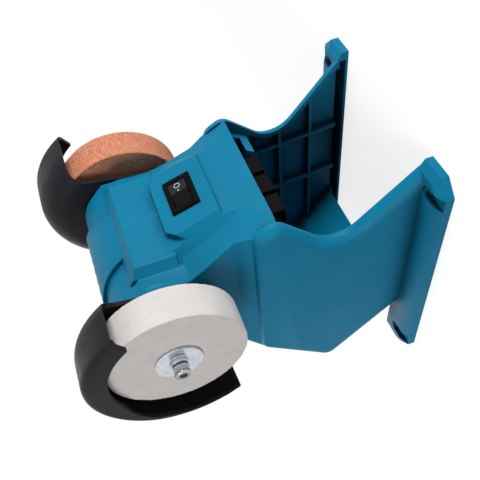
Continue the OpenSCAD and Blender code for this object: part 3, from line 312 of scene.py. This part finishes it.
def felt(name):
    """Pressed wool: pale, matt and fibrous, with a few specks."""
    finish = Finish(name, {"Roughness": 0.95, "Specular IOR Level": 0.15,
                           "Sheen Weight": 0.15, "Sheen Roughness": 0.6})
    fibres = finish.noise(0.5 * MM, 5, 0.7)
    cloud = finish.span(finish.noise(10 * MM, 4), 0.3, 0.7)
    body = finish.mix(cloud, lin(223, 218, 215), lin(231, 227, 224))
    body = finish.mix(finish.span(fibres, 0.36, 0.5, 0.25, 0), body, lin(204, 198, 190))
    specks = finish.span(finish.cells(4.5 * MM), 0.05, 0.08, 0.55, 0)
    finish.colour(finish.mix(specks, body, lin(158, 150, 140)))
    finish.bump(fibres, 0.12 * MM)
    return finish.material


def winding(name):
    """Enamelled copper wire, its turns laid side by side along the spindle."""
    finish = Finish(name, {"Metallic": 0.6})
    turns = finish.noise(0.6 * MM, 2, 0.5, finish.stretched(6, 1, 1))
    finish.colour(finish.mix(finish.span(turns, 0.35, 0.65), lin(120, 62, 30), lin(206, 130, 78)))
    finish.roughness(finish.span(turns, 0.3, 0.7, 0.28, 0.45))
    finish.bump(turns, 0.1 * MM)
    return finish.material


def white_paint(name):
    """Printed white with thin places."""
    finish = Finish(name, {"Roughness": 0.5})
    pale_share = finish.span(finish.noise(0.5 * MM, 4), 0.35, 0.6)
    finish.colour(finish.mix(pale_share, lin(196, 196, 194), lin(236, 236, 234)))
    return finish.material


MARK_PAINT = white_paint("mark_paint")
MATERIALS = {
    "housing_plastic": moulded(
        "teal_plastic", lin(12, 128, 166), lin(46, 150, 180), lin(9, 120, 156), 0.5, 0.12),
    "guard_plastic": moulded(
        "charcoal_plastic", lin(40, 37, 42), lin(80, 78, 84), lin(33, 31, 35), 0.5, 0.08),
    "black_plastic": moulded(
        "black_plastic", lin(14, 13, 15), lin(34, 33, 36), lin(9, 9, 10), 0.42, 0.04),
    # The rocker's half towards +X is painted paler, as if lit.
    "rocker_plastic": moulded(
        "rocker_plastic", lin(10, 10, 11), lin(48, 48, 51), lin(7, 7, 8), 0.36, 0.06, painted_lit_half=0.8),
    "motor_steel": metal("motor_steel", lin(176, 178, 182), 0.38, (8, 1, 1)),
    "bright_steel": chrome("bright_steel"),
    "dark_screw": metal("dark_screw", lin(72, 72, 76), 0.42),
    "zinc_washer": metal("zinc_washer", lin(206, 210, 218), 0.2, size=0.3 * MM),
    "hub_aluminium": metal("hub_aluminium", lin(190, 192, 196), 0.33, (10, 1, 1)),
    "contact_brass": metal("contact_brass", lin(212, 180, 106), 0.3),
    "winding_copper": winding("winding_copper"),
    "magnet_ferrite": moulded(
        "magnet_ferrite", lin(58, 58, 62), lin(92, 92, 96), lin(48, 48, 52), 0.55),
    "carbon": moulded("carbon", lin(44, 44, 46), lin(86, 86, 88), lin(36, 36, 38), 0.6),
    "grinding_stone": stone("grinding_stone"),
    "polishing_felt": felt("polishing_felt"),
    "wire_red": moulded("wire_red", lin(196, 34, 28), lin(222, 96, 88), lin(170, 26, 22), 0.4),
    "wire_black": moulded("wire_black", lin(24, 24, 24), lin(64, 64, 64), lin(18, 18, 18), 0.42),
}


# Pieces

def dress(piece, material):
    piece.data.materials.clear()
    piece.data.materials.append(material)


def new_piece(name, mesh, body, material):
    piece = bpy.data.objects.new(name, mesh)
    scene.collection.objects.link(piece)
    dress(piece, material)
    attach(piece, body)
    return piece


def new_mesh(name, work):
    """A mesh of the faces in work, all turned outwards."""
    bmesh.ops.recalc_face_normals(work, faces=work.faces)
    mesh = bpy.data.meshes.new(name)
    work.to_mesh(mesh)
    work.free()
    return mesh


def close_foot_corners(work):
    """Skin over the pinholes where a foot's hollow meets the bevel of its corner."""
    low, high = CORNER_Z
    for end in (-1, 1):
        rim = [vert for vert in work.verts if abs(vert.co.x) > CORNER_X
               and end * (vert.co.y - FOOT_MIDDLE_Y) > CORNER_Y and low < vert.co.z < high]
        middle = sum((vert.co for vert in rim), Vector()) / len(rim)
        rim.sort(key=lambda vert: atan2(vert.co.y - middle.y, vert.co.x - middle.x))
        work.faces.new(rim)


def thin_lip(work):
    """Narrow the guard's outer lip towards its back end."""
    first, last = LIP_WIDENS
    for vert in work.verts:
        if abs(vert.co.x) < GUARD_WALL:
            continue
        arm = Vector((0, vert.co.y - SPINDLE.y, vert.co.z - SPINDLE.z))
        angle = degrees(atan2(arm.z, arm.y))
        wide = min(1, max(0, (angle - first) / (last - first))) if angle > LIP_FRONT else 1
        radius = GUARD_RIM - (GUARD_RIM - arm.length) * (LIP_KEPT + (1 - LIP_KEPT) * wide)
        vert.co.yz = SPINDLE.yz + arm.yz * radius / arm.length


def in_legs(vert):
    return vert.co.z < (SHELF_FROM if abs(vert.co.x) < SHELF_HALF else HEAD_FROM)


def at_parting(vert):
    return abs(vert.co.x) < PARTING


def softened(node, width):
    """The node's own shape with its hard edges rounded, in place of the node.

    The housing's edges stay hard in the legs and along the parting plane.
    """
    housing = node.startswith("housing")
    mesh = frame["nodes"][node].data.copy()
    work = bmesh.new()
    work.from_mesh(mesh)
    bmesh.ops.remove_doubles(work, verts=work.verts, dist=MERGE)
    bmesh.ops.dissolve_limit(work, angle_limit=FLAT, verts=work.verts, edges=work.edges)
    if housing:
        close_foot_corners(work)
    if node.startswith("wheel_guard"):
        thin_lip(work)
    weight = work.edges.layers.float.new("bevel_weight_edge")
    room = {vert: EDGE_SHARE * min(edge.calc_length() for edge in vert.link_edges) for vert in work.verts}
    for edge in work.edges:
        kept = all(map(at_parting, edge.verts)) or housing and any(map(in_legs, edge.verts))
        if not kept and edge.calc_face_angle(0) > HARD_EDGE:
            edge[weight] = min(1.0, min(room[vert] for vert in edge.verts) / width)
    for vert in filter(at_parting, work.verts):
        vert.co.x *= PARTING_KEPT
    work.to_mesh(mesh)
    work.free()
    mesh.shade_smooth()
    mesh.set_sharp_from_angle(angle=SHADED_AS_ONE)
    piece = new_piece(node + "_moulding", mesh, BODIES[node], MATERIALS[SLOTS[node]])
    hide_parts(node)
    edges = piece.modifiers.new("edges", "BEVEL")
    edges.width = width
    edges.segments = EDGE_SEGMENTS
    edges.limit_method = "WEIGHT"
    edges.use_clamp_overlap = False
    edges.harden_normals = True


def between(a, b, step):
    """Points from a up to b, about step apart, without b."""
    count = max(1, round((Vector(b) - Vector(a)).length / step))
    return [tuple(Vector(a).lerp(Vector(b), k / count)) for k in range(count)]


def wheel_profile(x0, x1, bore, rim, corner):
    """A wheel's half section as a closed ring of (x, radius), with rounded outer corners."""
    def arc(x, first):
        angles = [first - k * pi / 2 / CORNER_STEPS for k in range(CORNER_STEPS + 1)]
        return [(x + corner * cos(angle), rim - corner + corner * sin(angle)) for angle in angles]

    return (between((x0, bore), (x0, rim - corner), WHEEL_STEP)
            + arc(x0 + corner, pi)
            + between((x0 + corner, rim), (x1 - corner, rim), WHEEL_STEP)[1:]
            + arc(x1 - corner, pi / 2)
            + between((x1, rim - corner), (x1, bore), WHEEL_STEP)[1:]
            + between((x1, bore), (x0, bore), 4 * WHEEL_STEP))


def turned_wheel(node, corner, grain, depth, edge_depth):
    """A wheel turned about the spindle, its surface pitted by grain, in place of the node."""
    low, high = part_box(node)
    rim = (high[2] - low[2]) / 2
    profile = wheel_profile(low[0], high[0], WHEEL_BORE / 2, rim, corner)
    work = bmesh.new()
    rings = []
    for k in range(WHEEL_SIDES):
        turn = 2 * pi * k / WHEEL_SIDES
        ring = []
        for i, (x, r) in enumerate(profile):
            before, after = Vector(profile[i - 1]), Vector(profile[(i + 1) % len(profile)])
            along = (after - before).normalized()
            place = Vector((x, r * cos(turn), r * sin(turn)))
            at_edge = r > rim - 2 * corner and min(x - low[0], high[0] - x) < 2 * corner
            share = 0.5 + 0.5 * noise.fractal(place / grain, *PIT_FRACTAL)
            pit = (edge_depth if at_edge else depth) * share
            x, r = x + along.y * pit, r - along.x * pit
            ring.append(work.verts.new((x, SPINDLE.y + r * cos(turn), SPINDLE.z + r * sin(turn))))
        rings.append(ring)
    for ring, after in zip(rings, rings[1:] + rings[:1]):
        for i in range(len(profile)):
            work.faces.new((ring[i - 1], ring[i], after[i], after[i - 1]))
    mesh = new_mesh(node + "_turned", work)
    mesh.shade_smooth()
    mesh.set_sharp_from_angle(angle=WHEEL_CREASE)
    piece = new_piece(node + "_turned", mesh, BODIES[node], MATERIALS[SLOTS[node]])
    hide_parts(node)


def rocker_mark(name, along, outer, inner=0):
    """A printed ring, or a dot where inner is 0, on the right facet of the rocker."""
    right = Vector((1, 0, 0))
    out = right.cross(PIN_AXIS)
    tilt = ROCKER_TILT - ROCKER_FALL
    facet = right * cos(tilt) + out * sin(tilt)
    normal = out * cos(tilt) - right * sin(tilt)
    ridge = PINS + ROCKER_RIDGE * (out * cos(ROCKER_TILT) - right * sin(ROCKER_TILT))
    middle = ridge + facet * along
    turns = [2 * pi * k / MARK_SIDES for k in range(MARK_SIDES)]
    rims = [(outer, -MARK_SINK), (outer, MARK_LIFT)]
    if inner:
        rims += [(inner, MARK_LIFT), (inner, -MARK_SINK)]
    work = bmesh.new()
    loops = [[work.verts.new(middle + normal * lift + radius * (facet * cos(turn) + PIN_AXIS * sin(turn)))
              for turn in turns] for radius, lift in rims]
    pairs = list(zip(loops, loops[1:]))
    if inner:
        pairs.append((loops[-1], loops[0]))
    for near, far in pairs:
        for k in range(MARK_SIDES):
            work.faces.new((near[k - 1], near[k], far[k], far[k - 1]))
    if not inner:
        for loop in loops:
            work.faces.new(loop)
    new_piece(name, new_mesh(name, work), "rocker", MARK_PAINT)


for name, node in frame["nodes"].items():
    dress(node, MATERIALS[SLOTS[name]])
for name in ("housing_left", "housing_right"):
    softened(name, 0.7 * MM)
for name in ("wheel_guard_left", "wheel_guard_right"):
    softened(name, 0.4 * MM)
for name in ("switch_body", "switch_rocker", "battery_terminal_block"):
    softened(name, 0.25 * MM)
for name in ("spindle_screws", "clamp_washers", "lock_washers"):
    softened(name, 0.2 * MM)
turned_wheel("grinding_wheel", corner=0.7 * MM, grain=1.1 * MM, depth=0.16 * MM, edge_depth=0.3 * MM)
turned_wheel("polishing_wheel", corner=0.8 * MM, grain=1.6 * MM, depth=0.14 * MM, edge_depth=0.4 * MM)
rocker_mark("off_ring", along=4.7 * MM, outer=1.7 * MM, inner=1.36 * MM)
rocker_mark("off_dot", along=0.9 * MM, outer=0.45 * MM)


# Stage, light and camera

def looked_at(tree):
    """1 where a surface is looked at, directly, in a reflection or through glass."""
    path = tree.nodes.new("ShaderNodeLightPath")
    share = path.outputs["Is Camera Ray"]
    for ray in ("Is Glossy Ray", "Is Transmission Ray"):
        larger = tree.nodes.new("ShaderNodeMath")
        larger.operation = "MAXIMUM"
        tree.links.new(share, larger.inputs[0])
        tree.links.new(path.outputs[ray], larger.inputs[1])
        share = larger.outputs[0]
    return share


def make_world():
    """White where it is looked at, and a low light from all round."""
    world = bpy.data.worlds.new("studio")
    scene.world = world
    world.use_nodes = True
    tree = world.node_tree
    background = tree.nodes["Background"]
    background.inputs["Color"].default_value = WHITE
    strength = tree.nodes.new("ShaderNodeMapRange")
    tree.links.new(looked_at(tree), strength.inputs["Value"])
    strength.inputs["To Min"].default_value = AMBIENT
    strength.inputs["To Max"].default_value = 1.0
    tree.links.new(strength.outputs["Result"], background.inputs["Strength"])


def make_floor():
    """A pale paper floor that runs out into the white background."""
    mesh = bpy.data.meshes.new("floor")
    corners = [(x * FLOOR_HALF, y * FLOOR_HALF, 0) for x, y in ((-1, -1), (1, -1), (1, 1), (-1, 1))]
    mesh.from_pydata(corners, [], [(0, 1, 2, 3)])
    floor = bpy.data.objects.new("floor", mesh)
    scene.collection.objects.link(floor)
    paper = Finish("paper", {"Roughness": 0.9, "Specular IOR Level": 0.0, "Emission Color": WHITE})
    fleck = paper.span(paper.noise(3 * MM, 3), 0.3, 0.7)
    shade = paper.mix(fleck, (0.5, 0.5, 0.5, 1), (0.52, 0.52, 0.52, 1))
    reach = paper.add("ShaderNodeVectorMath", operation="LENGTH")
    paper.feed(reach.inputs[0], paper.place)
    seen = looked_at(paper.tree)
    fade = paper.math("MULTIPLY", seen, paper.span(reach.outputs["Value"], *FLOOR_FADE))
    paper.colour(paper.mix(fade, shade, (0, 0, 0, 1)))
    glow = paper.math("MULTIPLY", seen, paper.span(reach.outputs["Value"], *FLOOR_FADE, FLOOR_GLOW, 1))
    paper.feed(paper.shader.inputs["Emission Strength"], glow)
    mesh.materials.append(paper.material)


def add_light(name, place, size, power):
    lamp = bpy.data.lights.new(name, "AREA")
    lamp.shape = "SQUARE"
    lamp.size = size
    lamp.energy = power
    light = bpy.data.objects.new(name, lamp)
    light.location = place
    light.rotation_euler = (LAMP_AIM - Vector(place)).to_track_quat("-Z", "Y").to_euler()
    scene.collection.objects.link(light)


def make_camera():
    data = bpy.data.cameras.new("photo")
    data.sensor_width = CAMERA_SENSOR
    data.lens = CAMERA_LENS
    data.clip_start = CAMERA_NEAR
    camera = bpy.data.objects.new("photo", data)
    turn = CAMERA_AIM.to_track_quat("-Z", "Y").to_matrix() @ Matrix.Rotation(CAMERA_ROLL, 3, "Z")
    camera.matrix_world = Matrix.Translation(CAMERA_PLACE) @ turn.to_4x4()
    scene.collection.objects.link(camera)
    scene.camera = camera


make_world()
make_floor()
for name, (place, size, power) in LAMPS.items():
    add_light(name, place, size, power)
make_camera()

scene.view_settings.view_transform = "Standard"
